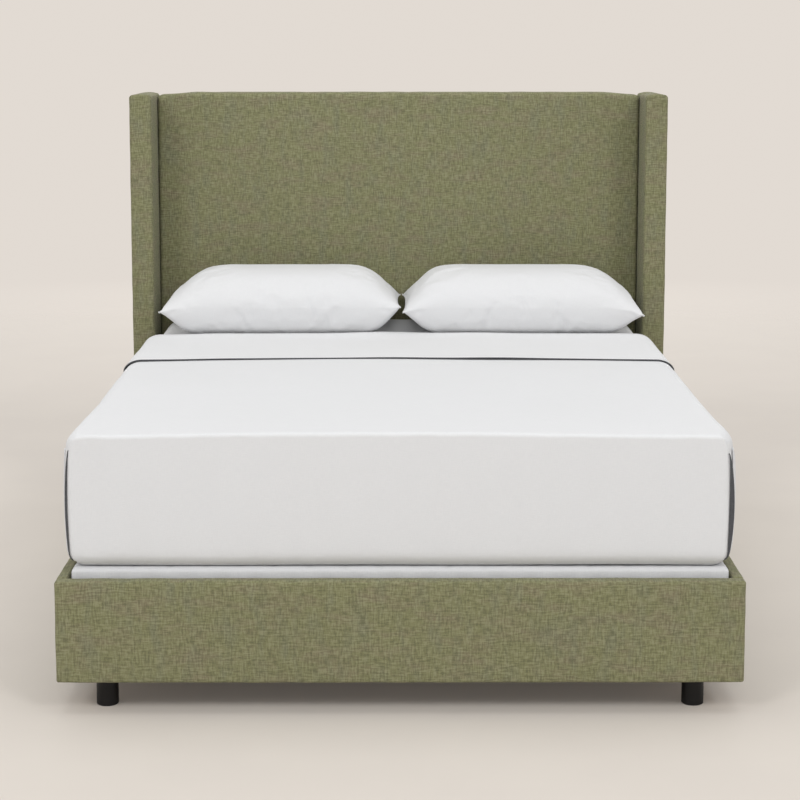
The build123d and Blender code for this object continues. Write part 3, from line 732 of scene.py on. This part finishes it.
def fitted_sheet():
    """Stretched over the mattress and open below, with small gathers at its corners."""
    low, high = box_of("fitted_sheet")
    margin = SHEET_MARGIN
    points, quads = soft_box(low, high, corner=0.060, edge=0.042, steps=(0.012, 0.012),
                             turns=(8, 6))
    inside = abs(points[:, 0]) < high[0] - margin
    inside &= (points[:, 1] > low[1] + margin) & (points[:, 1] < high[1] - margin)
    quads = opened_below(points, quads, low[2], inside)
    to_side = high[0] - abs(points[:, 0])
    to_end = np.minimum(points[:, 1] - low[1], high[1] - points[:, 1])
    low_down = 1 - smooth(points[:, 2], low[2] + GATHER_END, high[2] - GATHER_END)
    gathers = np.exp(-np.hypot(to_side, to_end) / GATHER_REACH) * low_down
    slack = GATHER_DEPTH * gathers * np.sin(GATHER_FOLDS * np.arctan2(to_side, to_end))
    slack += SHEET_SLACK * waves(points, size=0.22, seed=21)
    points = pinched(pushed(points, normals_of(points, quads), slack - SHEET_SUNK), low, high)
    made = piece("fitted_sheet_cloth", (points, quads), sheet_cotton, "mattress",
                 ("fitted_sheet",), thickness=0.0008)
    return made


mattress()
fitted_sheet()


# Coverlet: smooth over the top, rounded over the edges, tucked under, with hospital corners

cover_low, cover_high = box_of("coverlet")
FOOT_Y = cover_low[1]
BED_BOTTOM = cover_low[2]
BED_TOP = cover_high[2]
FOLD_Y = cover_high[1]
CUFF_Y = FOLD_Y - 0.491
TUCK = 0.12

# Half widths of the box that the bedding starts as, of its front, and of its sides
BED_HALF = 0.784
FRONT_HALF = {-1: 0.7635, 1: 0.7565}
FOOT_HALF = 0.778
HEAD_HALF = 0.781
FOOT_TAPER = 0.3
TAPER_BLEND = 0.006
WIDER_ZONE = (0.3, 1.1)

# How far the cloth stands out between its upper and its lower edge
FRONT_BELLY = 0.005
SIDE_BELLY = 0.006
FRONT_SWELL = 0.002
FRONT_SWELL_POWER = 4
FRONT_DEPTH = 0.03

# The flap behind each front corner, and the groove in front of it
FOOT_FLAP = {-1: 0.001, 1: 0.003}
FLAP_RISE = 0.016
FLAP_FADE = (0.08, 0.3)
FOLD_PLACE = 0.014
FOLD_GROOVE = 0.002
GROOVE_WIDTH = 0.004
GROOVE_FOOT = (0.03, 0.12)
GROOVE_HEAD = (0.86, 0.95)

# Radii, with those of the upper side edges given as across and upward
FRONT_ROUND = 0.010
FRONT_EDGE = 0.009
FRONT_BOTTOM_EDGE = 0.036
BOTTOM_EDGE = 0.038
SIDE_EDGE_FOOT = (0.030, 0.034)
SIDE_EDGE_HEAD = (0.045, 0.028)
SIDE_EDGE_ZONE = (0.25, 1.1)

# Slack on the top, and upright on the drops
TOP_SLACK = 0.0009
DROP_SLACK = 0.0007
DROP_STRETCH = (1.6, 1.6, 0.25)


def half_width(x, behind, rise):
    """Half the bed's width: narrow and tight at the foot, with full sides and a flap at each corner."""
    belly = 4 * rise * (1 - rise)
    front = np.where(x < 0, FRONT_HALF[-1], FRONT_HALF[1])
    near = front + FRONT_BELLY * belly + FOOT_TAPER * np.maximum(behind, 0)
    headward = smooth(behind, *WIDER_ZONE)
    far = FOOT_HALF + (HEAD_HALF - FOOT_HALF) * headward + SIDE_BELLY * belly
    width = (near + far - np.hypot(near - far, TAPER_BLEND)) / 2
    flap = np.where(x < 0, FOOT_FLAP[-1], FOOT_FLAP[1]) * belly
    flap *= smooth(behind, FOLD_PLACE, FOLD_PLACE + FLAP_RISE) * (1 - smooth(behind, *FLAP_FADE))
    in_height = smooth(rise, *GROOVE_FOOT) * (1 - smooth(rise, *GROOVE_HEAD))
    groove = FOLD_GROOVE * in_height * np.exp(-(((behind - FOLD_PLACE) / GROOVE_WIDTH) ** 2))
    return width + flap - groove


def bedding(points, grow):
    """Turn a plain box's surface into the made-up bed's, grown outward a little."""
    low = np.array([-BED_HALF - grow, FOOT_Y - grow, BED_BOTTOM - grow / 2])
    high = np.array([BED_HALF + grow, FOLD_Y + 1, BED_TOP + grow])
    upper = points[:, 2] > (low[2] + high[2]) / 2
    headward = smooth(points[:, 1] - FOOT_Y, *SIDE_EDGE_ZONE)
    sides = tuple(
        np.where(upper, foot + (head - foot) * headward, BOTTOM_EDGE) + grow
        for foot, head in zip(SIDE_EDGE_FOOT, SIDE_EDGE_HEAD)
    )
    round_pair(points, (0, 2), low, high, sides)
    round_pair(points, (1, 2), low, high, np.where(upper, FRONT_EDGE, FRONT_BOTTOM_EDGE) + grow)
    round_pair(points, (0, 1), low, high, FRONT_ROUND)
    behind = points[:, 1] - low[1]
    rise = np.clip((points[:, 2] - low[2]) / (high[2] - low[2]), 0, 1)
    points[:, 0] *= (half_width(points[:, 0], behind, rise) + grow) / (BED_HALF + grow)
    on_front = 1 - smooth(behind, 0, FRONT_DEPTH)
    middle = 1 - (points[:, 0] / BED_HALF) ** FRONT_SWELL_POWER
    points[:, 1] -= on_front * FRONT_SWELL * 4 * rise * (1 - rise) * middle
    return crowned(points, BED_HALF, behind, rise)


def bedding_finish(points, normal):
    """Slack in the cloth: long soft swells, with a few upright ones on the drops."""
    level = abs(normal[:, 2])
    slack = TOP_SLACK * level * waves(points, size=0.5, seed=31)
    upright = waves(points * DROP_STRETCH, size=0.16, seed=32)
    return pushed(points, normal, slack + DROP_SLACK * (1 - level) * upright)


def fine_stops(low, high, steps):
    """Places from low to high, spaced by a list of each step and how far from low it reaches."""
    marks = [low]
    for reach, step in steps:
        end = min(low + reach, high)
        marks.extend(np.linspace(marks[-1], end, round((end - marks[-1]) / step) + 1)[1:])
    return np.array(marks)


def across_stops(grow=0):
    """Places across the bed, close together over the rounds at its sides."""
    return stops(-BED_HALF - grow, BED_HALF + grow, SIDE_EDGE_HEAD[0] + grow, step=0.016, turns=14)


def upward_stops(grow=0):
    """Places up the bed's side, close together over the rounds at its top and bottom."""
    low, high = BED_BOTTOM - grow / 2, BED_TOP + grow
    return stops(low, high, SIDE_EDGE_HEAD[1] + grow, step=0.010, turns=14)


def coverlet():
    steps = ((0.05, 0.0022), (0.15, 0.005), (FOLD_Y - FOOT_Y, 0.014))
    y_stops = fine_stops(FOOT_Y, FOLD_Y, steps)
    points, quads = box_shell(across_stops(), y_stops, upward_stops(), drop=("+y",))
    inside = (abs(points[:, 0]) < BED_HALF - TUCK) & (points[:, 1] > FOOT_Y + TUCK)
    quads = opened_below(points, quads, BED_BOTTOM, inside)
    points = bedding(points, 0)
    points = bedding_finish(points, normals_of(points, quads))
    made = piece("coverlet_cloth", (points, quads), coverlet_cotton, "mattress",
                 ("coverlet",), thickness=0.003)
    return made


CORNER_GRID = 40
CORNER_START = 0.034
CORNER_TOP_REACH = 0.01
CORNER_FOOT_REACH = 0.25
CORNER_UNDER = 0.03
CORNER_EDGE = 0.08
CORNER_FRONT_SHARE = 0.04
CORNER_THICKNESS = (0.0012, 0.0022)
CORNER_TAPER = (0.3, 0.7)
CORNER_TAPER_ZONE = (0.03, 0.16)


def hospital_corners():
    """The folded flap on each side of the foot, slanting down from the top corner."""
    meshes = []
    marks = np.linspace(0, 1, CORNER_GRID)
    down, along = np.meshgrid(marks, marks, indexing="ij")
    z = BED_TOP - BOTTOM_EDGE - down * (BED_TOP - BED_BOTTOM - 2 * BOTTOM_EDGE + CORNER_UNDER)
    reach = CORNER_TOP_REACH + (CORNER_FOOT_REACH - CORNER_TOP_REACH) * down
    y = FOOT_Y + CORNER_START + along * reach
    edge = np.minimum(1 - along, along + CORNER_FRONT_SHARE).ravel()
    thick = CORNER_THICKNESS[0] + CORNER_THICKNESS[1] * smooth(edge, 0, CORNER_EDGE)
    quads = grid_quads(CORNER_GRID, CORNER_GRID)
    for sign in (-1, 1):
        points = bedding(xyz(sign * BED_HALF, y, z), 0)
        behind = smooth(points[:, 1] - FOOT_Y, *CORNER_TAPER_ZONE)
        points[:, 0] += sign * thick * (CORNER_TAPER[0] + CORNER_TAPER[1] * behind)
        meshes.append((points, quads if sign < 0 else quads[:, ::-1]))
    return piece("coverlet_corner_folds", joined(*meshes), coverlet_cotton, "mattress",
                 thickness=0.0025)


def section(y, grow):
    """The bedding's outline across the bed at one place: from one tuck, over the top, to the other."""
    across, upward = across_stops(grow), upward_stops(grow)
    tucked = np.linspace(BED_HALF + grow, BED_HALF - TUCK, num=10)
    bottom, top = upward[0], upward[-1]
    run = [(-x, bottom) for x in tucked[::-1]]
    run += [(across[0], z) for z in upward[1:]]
    run += [(x, top) for x in across[1:]]
    run += [(across[-1], z) for z in upward[-2::-1]]
    run += [(x, bottom) for x in tucked[1:]]
    x, z = np.array(run).T
    return bedding(xyz(x, y, z), grow)


# Top sheet: turned back over the coverlet, with a piping at its edge

CUFF_GROW = 0.0045
UNDER_GROW = -0.004
CUFF_SLACK = (0.0006, 0.0011)
UNDER_END = 0.06
TURN_ANGLES = np.radians(np.linspace(80, -80, 9))
TURN_START = 0.004
TURN_DEPTH = 0.006
PIPING_RADIUS = 0.0018
PIPING_AHEAD = 0.001
PIPING_SUNK = 0.0008


def cuff_swell(points):
    """Slack in the turned-back sheet, more towards its fold."""
    near_fold = smooth(points[:, 1], CUFF_Y, FOLD_Y)
    return (CUFF_SLACK[0] + CUFF_SLACK[1] * near_fold) * waves(points, size=0.3, seed=47)


def top_sheet():
    """From the piped edge up to the fold, over it, and back under the coverlet to the foot."""
    turn_y = FOLD_Y - TURN_START
    upper = [section(y, CUFF_GROW) for y in np.linspace(CUFF_Y, turn_y, num=36)]
    outer, inner = section(FOLD_Y, CUFF_GROW), section(FOLD_Y, UNDER_GROW)
    middle, gap = (outer + inner) / 2, (outer - inner) / 2
    turn = []
    for angle in TURN_ANGLES:
        turned = middle + gap * math.sin(angle)
        turned[:, 1] = FOLD_Y + TURN_DEPTH * math.cos(angle)
        turn.append(turned)
    lower = [section(y, UNDER_GROW) for y in np.linspace(turn_y, FOOT_Y + UNDER_END, num=24)]
    rows = np.array(upper + turn + lower)
    points = rows.reshape(-1, 3)
    quads = grid_quads(*rows.shape[:2])[:, ::-1]
    on_top = np.arange(len(points)) // rows.shape[1] < len(upper) + len(turn) // 2
    points = pushed(points, normals_of(points, quads), on_top * cuff_swell(points))
    made = piece("top_sheet_cloth", (points, quads), sheet_cotton, "mattress",
                 ("top_sheet",), thickness=0.0012)
    return made


def normals_round(path):
    """The outward direction along a section of the bedding."""
    along = np.gradient(path, axis=0)
    out = np.stack([-along[:, 2], 0 * along[:, 1], along[:, 0]], 1)
    return out / row_lengths(out)


def cuff_piping():
    path = section(CUFF_Y - PIPING_AHEAD, CUFF_GROW)
    path = pushed(path, normals_round(path), cuff_swell(path) - PIPING_SUNK)
    return piece("top_sheet_piping", tube(path, PIPING_RADIUS), charcoal, "mattress")


EDGING_AT = {-1: 0.7727, 1: 0.7678}
# How wide each cord is across: the right one is a wide flat band whose dark colour is painted shade on
# the flap behind the fold
EDGING_AND_PAINTED_SHADE_WIDE = {-1: 0.003, 1: 0.006}
EDGING_DROP = {-1: 0.034, 1: 0.042}
EDGING_FOOT = 0.007
EDGING_BEHIND = 0.0025
EDGING_OUT = 0.0008
EDGING_AHEAD = 0.0016
EDGING_RADIUS = 0.0016
EDGING_TIP = 0.6
EDGING_STOPS = 60


def corner_piping_and_painted_shade():
    """A charcoal cord down each front corner, where the side flap comes out behind the front: partly
    the coverlet's bound edge, partly painted shade in the fold's crease.
    """
    tubes = []
    rise = np.linspace(1, 0, EDGING_STOPS)
    middle = np.sqrt(np.clip(4 * rise * (1 - rise), 0, 1))
    for sign in (-1, 1):
        z = np.linspace(BED_TOP - EDGING_DROP[sign], BED_BOTTOM + EDGING_FOOT, EDGING_STOPS)
        path = bedding(xyz(sign * BED_HALF, FOOT_Y + EDGING_BEHIND, z), 0)
        path[:, 0] += sign * EDGING_OUT
        path[:, 1] -= EDGING_AHEAD
        path[:, 0] += sign * (EDGING_AT[sign] - abs(path[EDGING_STOPS // 2, 0])) * middle
        points, quads = tube(path, EDGING_RADIUS)
        # Flatten and widen each cord over the middle of its height, where its dark colour paints the
        # shade of the fold and the flap behind it
        core = np.repeat(path[:, 0], TUBE_SIDES)
        wide = EDGING_TIP + (EDGING_AND_PAINTED_SHADE_WIDE[sign] / EDGING_RADIUS - EDGING_TIP) * middle**2
        points[:, 0] = core + (points[:, 0] - core) * np.repeat(wide, TUBE_SIDES)
        tubes.append((points, quads))
    return piece("coverlet_corner_piping", joined(*tubes), charcoal, "mattress")


coverlet()
hospital_corners()
top_sheet()
cuff_piping()
corner_piping_and_painted_shade()


# Pillows

PILLOW_GRID = (150, 96)
PILLOW_ASIDE = 0.009
PILLOW_PLUMP = -0.001
SEAM_HEIGHT = 0.086
FRONT_TIPS = {"left": (-0.009, 0.008), "right": (-0.009, -0.022)}
REAR_TIP = -0.008
TIP_POWER = 8
END_HOLLOW = (0.007, 2.2)
SIDE_HOLLOW = (0.020, 4)
END_SLOPE = {"left": (0.345, 0.28), "right": (0.27, 0.345)}
END_CURVE = (0.85, 0.15)
END_SHARPNESS = 6
TOP_BULGE = (2.6, 0.6)
UNDER_SLOPE = 0.2
UNDER_SHARPNESS = 4
UNDER_BULGE = (15, 0.5)


def plateau(share, slope, sharpness):
    """A profile that rises from 0 at an end over a slope's share, and then stays at 1."""
    climb = share / slope
    return climb / (1 + climb**sharpness) ** (1 / sharpness)


def bulge(share, power, root):
    """A profile that is 1 in the middle and falls to 0 at both sides."""
    return np.clip(1 - abs(share) ** power, 0, 1) ** root


def hollow(share, depth, power):
    """How far an outline draws in between two corners."""
    return depth * (1 - abs(share) ** power)


def welded(points, quads):
    """The mesh with points in the same place joined."""
    rounded = np.round(points, decimals=6)
    _, first, back = np.unique(rounded, axis=0, return_index=True, return_inverse=True)
    return points[first], back.reshape(-1)[quads]


def pillow(side):
    """A plump pillow: level on top, slanting to pointed corners, and flat where it lies."""
    low, high = box_of(f"{side}_pillowcase")
    middle = (low + high) / 2
    half_x, half_y = (high[0] - low[0]) / 2, (high[1] - low[1]) / 2
    turns = [np.sin(np.linspace(-math.pi / 2, math.pi / 2, count)) for count in PILLOW_GRID]
    u, v = np.meshgrid(*turns, indexing="ij")
    x = middle[0] + PILLOW_ASIDE + u * (half_x - hollow(v, *END_HOLLOW))
    y = middle[1] + v * (half_y - hollow(u, *SIDE_HOLLOW))
    tips = np.where(v < 0, np.where(u < 0, *FRONT_TIPS[side]), REAR_TIP)
    seam = low[2] + SEAM_HEIGHT + tips * abs(u) ** TIP_POWER * abs(v)
    slope = np.where(u < 0, *END_SLOPE[side])
    climb = (1 - abs(u)) ** END_CURVE[0] * slope ** END_CURVE[1]
    up = plateau(climb, slope, END_SHARPNESS) * bulge(v, *TOP_BULGE)
    down = plateau(1 - abs(u), UNDER_SLOPE, UNDER_SHARPNESS) * bulge(v, *UNDER_BULGE)
    quads = grid_quads(*PILLOW_GRID)
    upper = xyz(x, y, seam + (high[2] + PILLOW_PLUMP - seam) * up)
    under = xyz(x, y, seam - (seam - low[2]) * down)
    return welded(*joined((upper, quads), (under, quads[:, ::-1])))


# Creases of the pillowcases, from a simulation of each as cloth with some air inside it

SIM_VOXEL = 0.006
SIM_FRAMES = 20
SIM_CAP = 0.003
SIM_EVENING = 50
SIM_NEIGHBOURS = 6
SIM_NEAR = 0.002
SIM_CLOTH = {
    "quality": 5,
    "mass": 0.2,
    "tension_stiffness": 20,
    "compression_stiffness": 20,
    "bending_stiffness": 0.05,
    "use_pressure": True,
    "uniform_pressure_force": 2,
    "shrink_min": -0.03,
}


def as_shown(made):
    """An object with its modifiers at work."""
    return made.evaluated_get(bpy.context.evaluated_depsgraph_get())


def cloth_start(points, quads):
    """An even mesh of the form, ready to be simulated."""
    mesh = bpy.data.meshes.new("cloth_start")
    mesh.from_pydata(points.tolist(), [], quads.tolist())
    made = placed("cloth_start", mesh)
    even = made.modifiers.new("even", "REMESH")
    even.mode = "VOXEL"
    even.voxel_size = SIM_VOXEL
    made.data = bpy.data.meshes.new_from_object(as_shown(made))
    made.modifiers.clear()
    cloth = made.modifiers.new("cloth", "CLOTH")
    cloth.point_cache.frame_start = 1
    cloth.point_cache.frame_end = SIM_FRAMES
    for key, value in SIM_CLOTH.items():
        setattr(cloth.settings, key, value)
    cloth.settings.effector_weights.gravity = 0
    return made


def evened(values, edges, rounds):
    """Values at a mesh's points, each averaged with its neighbours' a number of times."""
    count = np.bincount(edges.ravel(), minlength=len(values))
    for _ in range(rounds):
        for axis in range(3):
            one = values[:, axis]
            near = np.bincount(edges[:, 0], one[edges[:, 1]], len(one))
            near += np.bincount(edges[:, 1], one[edges[:, 0]], len(one))
            values[:, axis] = (one + near / count) / 2
    return values


def creased(forms):
    """The same points with the creases that a cloth simulation gives each form, up to a cap."""
    scene = bpy.context.scene
    made = [cloth_start(*form) for form in forms]
    before = [read_all(one.data.vertices, "co", 3) for one in made]
    for step in range(1, SIM_FRAMES + 1):
        scene.frame_set(step)
    moved = []
    for (points, quads), one, start in zip(forms, made, before):
        move = read_all(as_shown(one).data.vertices, "co", 3) - start
        edges = read_all(one.data.edges, "vertices", 2, np.int32)
        move -= evened(move.copy(), edges, SIM_EVENING)
        tree = KDTree(len(start))
        for number, place in enumerate(start):
            tree.insert(place, number)
        tree.balance()
        spread = np.zeros_like(points)
        for number, place in enumerate(points):
            near = tree.find_n(place, SIM_NEIGHBOURS)
            weight = np.array([1 / (distance + SIM_NEAR) for _, _, distance in near])
            spread[number] = weight @ move[[index for _, index, _ in near]] / weight.sum()
        capped = np.minimum(1, SIM_CAP / np.maximum(row_lengths(spread), TINY))
        moved.append((points + spread * capped, quads))
        bpy.data.objects.remove(one)
    scene.frame_set(1)
    return moved


CASE_ROOM = 0.003
cases = [pillow(side) for side in SIDES]
cases = creased(cases)
for side, (points, quads) in zip(SIDES, cases):
    body = f"{side}_pillow"
    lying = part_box(f"{side}_pillowcase")[0][2]
    points[:, 2] = np.maximum(points[:, 2], lying)
    inner = points - CASE_ROOM * normals_of(points, quads)
    insert = piece(f"{side}_pillow_insert", (inner, quads), fill_cotton, body,
                   (f"{side}_pillow",))
    case = piece(f"{side}_pillowcase_cloth", (points, quads), case_cotton, body,
                 (f"{side}_pillowcase",), thickness=0.0008)


# Stage: a pale floor that fades into the backdrop, soft lamps and the camera

BACKDROP = (0.76, 0.705, 0.65)
FLOOR_COLOR = (0.66, 0.61, 0.556)
FLOOR_GLOW = 0.08
FLOOR_FADE = (3.2, 7.5)
FLOOR_REACH = 9


def floor():
    """A pale floor that keeps the bed's shadow and clears away with distance."""
    made = Finish("pale_floor", FLOOR_COLOR, 0.9, Specular_IOR_Level=0.1)
    at = made.place()
    speck = made.noise(at, 3, detail=3)
    made.finish(made.mix((0.655, 0.605, 0.552), (0.665, 0.615, 0.56), speck, 0.4, 0.6))
    glow = made.node("Emission", {"Color": (*FLOOR_COLOR, 1)})
    seen = made.node("LightPath", output="Is Camera Ray")
    lift = made.sum("MULTIPLY", seen, FLOOR_GLOW)
    lit = made.node("MixShader", {0: lift, 1: made.shader.outputs[0], 2: glow})
    clear = made.node("BsdfTransparent")
    distance = made.node("VectorMath", {0: at}, "Value", operation="LENGTH")
    away = made.between(distance, *FLOOR_FADE)
    blend = made.node("MixShader", {0: away, 1: lit, 2: clear})
    made.tree.links.new(blend, made.tree.nodes["Material Output"].inputs["Surface"])
    mesh = bpy.data.meshes.new("floor")
    corners = [(x * FLOOR_REACH, y * FLOOR_REACH, 0) for x, y in ((-1, -1), (1, -1), (1, 1), (-1, 1))]
    mesh.from_pydata(corners, [], [(0, 1, 2, 3)])
    mesh.materials.append(made.material)
    ground = placed("floor", mesh)


def world():
    """The backdrop's colour where it is seen, mirrored or looked through, and plain light elsewhere."""
    made = bpy.data.worlds.new("studio")
    made.use_nodes = True
    tree = made.node_tree
    tree.nodes.clear()
    path = tree.nodes.new("ShaderNodeLightPath").outputs
    seen = path["Is Camera Ray"]
    for ray in ("Is Glossy Ray", "Is Transmission Ray"):
        seen = add_node(tree, "Math", {0: seen, 1: path[ray]}, operation="MAXIMUM")
    shown = add_node(tree, "Background", {"Color": (*BACKDROP, 1)})
    light = add_node(tree, "Background", {"Color": (1, 1, 1, 1), "Strength": 0.7})
    blend = add_node(tree, "MixShader", {0: seen, 1: light, 2: shown})
    add_node(tree, "OutputWorld", {"Surface": blend})
    bpy.context.scene.world = made


# Each lamp's name, place, aim, width and height, and power

BED_MIDDLE = np.array([0, 0, 0.7])
KEY_REACH = 15
KEY_SIZE = (3.2, 3.2)
KEY_POWER = 392
KEY_WAY = np.array([0.475, -0.671, 0.570])
LEFT_KEY_WAY = KEY_WAY * [-1, 1, 1]
FRONT_WAY = np.array([0, -0.822, 0.570])
LAMPS = (
    ("left_key", BED_MIDDLE + KEY_REACH * LEFT_KEY_WAY, BED_MIDDLE, KEY_SIZE, KEY_POWER),
    ("right_key", BED_MIDDLE + KEY_REACH * KEY_WAY, BED_MIDDLE, KEY_SIZE, KEY_POWER),
    ("front_key", BED_MIDDLE + KEY_REACH * FRONT_WAY, BED_MIDDLE, KEY_SIZE, 179),
    ("overhead_softbox", (0, -0.6, 6.5), (0, -0.4, 0), (5, 5), 92),
    ("rear_fill", (0, 8, 1.8), (0, 0, 0.6), (6, 2.5), 120),
)


def lamp(name, place, aim, size, power):
    data = bpy.data.lights.new(name, "AREA")
    data.shape = "RECTANGLE"
    data.size, data.size_y = size
    data.energy = power
    made = placed(name, data)
    made.location = tuple(place)
    way = np.array(aim) - np.array(place)
    made.rotation_mode = "QUATERNION"
    made.rotation_quaternion = Vector(way).to_track_quat("-Z", "Y")


def camera():
    """At the photographed view: from the foot, a little above the headboard's top."""
    data = bpy.data.cameras.new("camera")
    data.sensor_width = 36
    data.lens = 90.17
    data.shift_y = -0.12
    made = placed("camera", data)
    made.location = (-0.0125, -5.580, 1.5695)
    made.rotation_euler = (math.radians(90 - 7.672), 0, math.radians(-0.151))
    bpy.context.scene.camera = made


floor()
world()
for values in LAMPS:
    lamp(*values)
camera()
bpy.context.scene.view_settings.view_transform = "Standard"
